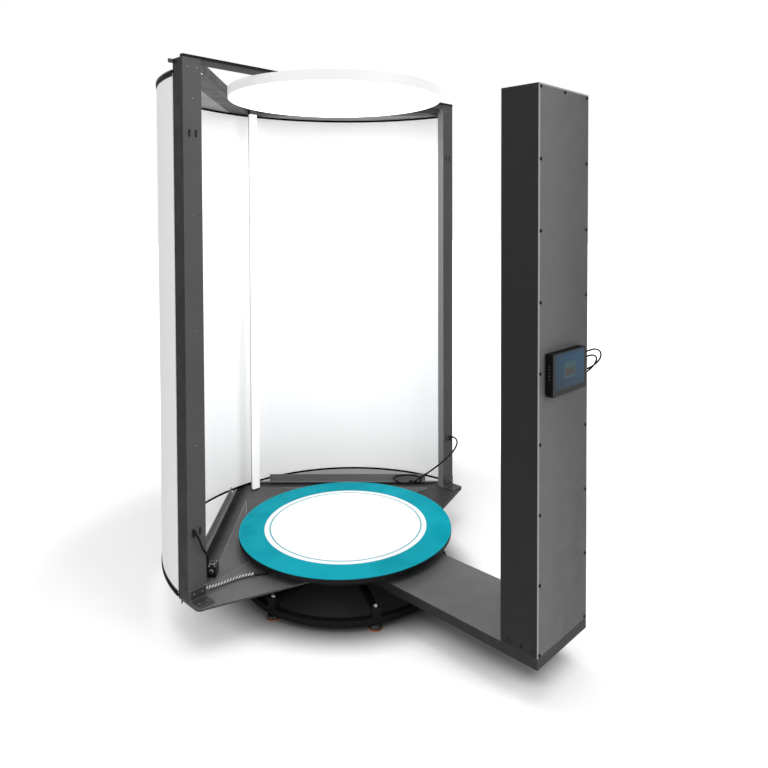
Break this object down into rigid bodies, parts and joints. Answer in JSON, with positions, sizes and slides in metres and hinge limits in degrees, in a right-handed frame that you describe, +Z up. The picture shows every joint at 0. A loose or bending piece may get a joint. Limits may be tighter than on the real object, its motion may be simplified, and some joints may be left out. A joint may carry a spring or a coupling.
{
  "type": "three-dimensional body scanner",
  "caption": "Standing body scanner: motor-driven round platform before a half-round white screen with a round ceiling lamp, faced by a tall sensor column with a monitor.",
  "frame": {"origin": "on the floor under the turntable's axis", "axes": "+Z up along the turntable's axis, +Y from the sensor column to the screen, +X to the right post as seen from the column"},
  "size_m": [1.686, 2.06, 2.314],
  "materials": {
    "black_steel": "satin black powder coat",
    "dark_steel": "fine textured charcoal powder coat",
    "grey_steel": "satin grey powder coat",
    "light_grey_steel": "satin light grey powder coat",
    "bright_steel": "bright zinc plated",
    "aluminium": "satin anodised",
    "bronze": "turned",
    "rubber": "matt",
    "orange_rubber": "matt orange",
    "mat_print": "teal and white print",
    "screen_white": "matt white",
    "opal": "opal, lit",
    "white_paint": "satin white",
    "black_plastic": "satin black",
    "light_plastic": "light grey",
    "dark_glass": "tinted",
    "display_glass": "lit blue screen",
    "lens_glass": "coated lens",
    "cord_jacket": "satin black",
    "braid": "woven steel braid"
  },
  "bodies": {
    "frame": {"base_ring": "black_steel", "spider_frame": "black_steel", "foot_studs": "bright_steel", "foot_caps": "black_plastic", "foot_pads": "orange_rubber", "centre_shaft": "bright_steel", "thrust_washer": "bronze", "drive_motor": "dark_steel", "roller_brackets": "black_steel", "left_arm_plate": "grey_steel", "right_arm_plate": "grey_steel", "infill_panels": "light_grey_steel", "rear_gusset": "dark_steel", "left_base_beam": "dark_steel", "right_base_beam": "dark_steel", "column_tray": "grey_steel", "foot_brackets": "dark_steel", "frame_screws": "bright_steel", "left_post": "dark_steel", "right_post": "dark_steel", "left_top_beam": "dark_steel", "right_top_beam": "dark_steel", "cross_beam": "grey_steel", "top_rail": "black_steel", "top_segments": "light_grey_steel", "screen": "screen_white", "screen_trims": "black_plastic", "light_channel": "aluminium", "light_diffuser": "opal", "light_brackets": "dark_steel", "lamp_housing": "white_paint", "lamp_diffuser": "opal", "column_shell": "dark_steel", "back_cover": "grey_steel", "cover_screws": "black_steel", "head_windows": "dark_glass", "scan_heads": "dark_steel", "head_lenses": "lens_glass", "control_box": "aluminium", "monitor_case": "black_plastic", "monitor_glass": "display_glass", "junction_box": "black_plastic", "cable_glands": "rubber", "left_post_cord": "cord_jacket", "right_post_cord": "cord_jacket", "braided_conduit": "braid", "monitor_cable_1": "cord_jacket", "monitor_cable_2": "cord_jacket"},
    "turntable": {"platform_hub": "aluminium", "platform": "black_steel", "platform_mat": "mat_print"},
    "drive": {"drive_roller": "rubber"},
    "rim_roller_left": {"rim_roller_left": "light_plastic"},
    "rim_roller_right": {"rim_roller_right": "light_plastic"},
    "rim_roller_front": {"rim_roller_front": "light_plastic"},
    "key_1": {"monitor_key_1": "light_plastic"},
    "key_2": {"monitor_key_2": "light_plastic"},
    "key_3": {"monitor_key_3": "light_plastic"},
    "key_4": {"monitor_key_4": "light_plastic"},
    "key_5": {"monitor_key_5": "light_plastic"}
  },
  "joints": [
    {"name": "turntable_turn", "type": "hinge", "parent": "frame", "child": "turntable", "pos_m": [0, 0, 0.212], "axis": [0, 0, 1], "continuous": true},
    {"name": "drive_roller_turn", "type": "hinge", "parent": "frame", "child": "drive", "pos_m": [-0.175, 0, 0.192], "axis": [0, 0, 1], "continuous": true},
    {"name": "rim_roller_left_turn", "type": "hinge", "parent": "frame", "child": "rim_roller_left", "pos_m": [-0.4336, 0.1001, 0.2077], "axis": [-0.9744, 0.225, 0], "continuous": true},
    {"name": "rim_roller_right_turn", "type": "hinge", "parent": "frame", "child": "rim_roller_right", "pos_m": [0.4336, 0.1001, 0.2077], "axis": [0.9744, 0.225, 0], "continuous": true},
    {"name": "rim_roller_front_turn", "type": "hinge", "parent": "frame", "child": "rim_roller_front", "pos_m": [0, -0.445, 0.2077], "axis": [0, -1, 0], "continuous": true},
    {"name": "key_1_press", "type": "slide", "parent": "frame", "child": "key_1", "axis": [1, 0, 0], "range_m": [0, 0.001], "stiffness_N_per_m": 400},
    {"name": "key_2_press", "type": "slide", "parent": "frame", "child": "key_2", "axis": [1, 0, 0], "range_m": [0, 0.001], "stiffness_N_per_m": 400},
    {"name": "key_3_press", "type": "slide", "parent": "frame", "child": "key_3", "axis": [1, 0, 0], "range_m": [0, 0.001], "stiffness_N_per_m": 400},
    {"name": "key_4_press", "type": "slide", "parent": "frame", "child": "key_4", "axis": [1, 0, 0], "range_m": [0, 0.001], "stiffness_N_per_m": 400},
    {"name": "key_5_press", "type": "slide", "parent": "frame", "child": "key_5", "axis": [1, 0, 0], "range_m": [0, 0.001], "stiffness_N_per_m": 400}
  ],
  "couplings": [
    {"joint": "drive_roller_turn", "follows": "turntable_turn", "ratio": 6.8333},
    {"joint": "rim_roller_left_turn", "follows": "turntable_turn", "ratio": -37.083},
    {"joint": "rim_roller_right_turn", "follows": "turntable_turn", "ratio": -37.083},
    {"joint": "rim_roller_front_turn", "follows": "turntable_turn", "ratio": -37.083}
  ]
}
